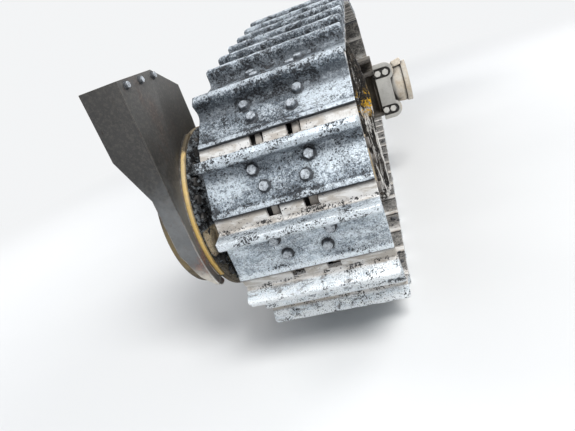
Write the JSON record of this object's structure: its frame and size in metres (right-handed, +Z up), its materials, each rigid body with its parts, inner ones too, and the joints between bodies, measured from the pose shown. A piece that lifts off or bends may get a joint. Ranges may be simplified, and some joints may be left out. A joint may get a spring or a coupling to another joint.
{
  "type": "crawler track unit",
  "caption": "Right-hand crawler track unit of a large dozer: closed track with grouser shoes, sprocket and final drive, idler, rollers, track frame and push-arm trunnion.",
  "frame": {"origin": "on the floor under the middle of the unit's bounding box", "axes": "+X forward to the idler, +Y inboard to the machine, +Z up"},
  "size_m": [4.4748, 1.216, 1.3765],
  "materials": {
    "shoe_steel": "polished blue-grey steel with black coal dust",
    "chain_steel": "steel caked with coal dust",
    "cast_steel": "rolled bright treads, dirty sides",
    "bright_steel": "machined steel",
    "machine_paint": "faded yellow paint under coal dust",
    "worn_paint": "brown-grey worn plate",
    "rim_paint": "bright yellow paint",
    "cap_paint": "dusty pale grey-beige paint"
  },
  "bodies": {
    "root": {"adjuster_cover": "machine_paint", "carrier_bracket_front": "machine_paint", "carrier_bracket_rear": "machine_paint", "carrier_roller_front": "cast_steel", "carrier_roller_rear": "cast_steel", "chain_guides_front": "machine_paint", "chain_guides_rear": "machine_paint", "diagonal_brace": "machine_paint", "drive_sprocket": "cast_steel", "equalizer_pad": "cast_steel", "final_drive_case": "machine_paint", "final_drive_cover": "machine_paint", "final_drive_guard": "worn_paint", "front_idler": "cast_steel", "guard_rim": "rim_paint", "idler_block_inner": "machine_paint", "idler_block_outer": "machine_paint", "idler_shaft": "bright_steel", "idler_yoke": "machine_paint", "push_arm_socket": "cap_paint", "recoil_housing": "machine_paint", "roller_collars_inner": "cast_steel", "roller_collars_outer": "cast_steel", "roller_guard_inner": "machine_paint", "roller_guard_outer": "machine_paint", "sprocket_hub": "machine_paint", "track_chain": "chain_steel", "track_frame": "machine_paint", "track_roller_1": "cast_steel", "track_roller_2": "cast_steel", "track_roller_3": "cast_steel", "track_roller_4": "cast_steel", "track_roller_5": "cast_steel", "track_roller_6": "cast_steel", "track_roller_7": "cast_steel", "track_shoes": "shoe_steel", "trunnion_arm": "machine_paint", "trunnion_ball": "bright_steel", "trunnion_cap": "cap_paint"}
  },
  "joints": []
}
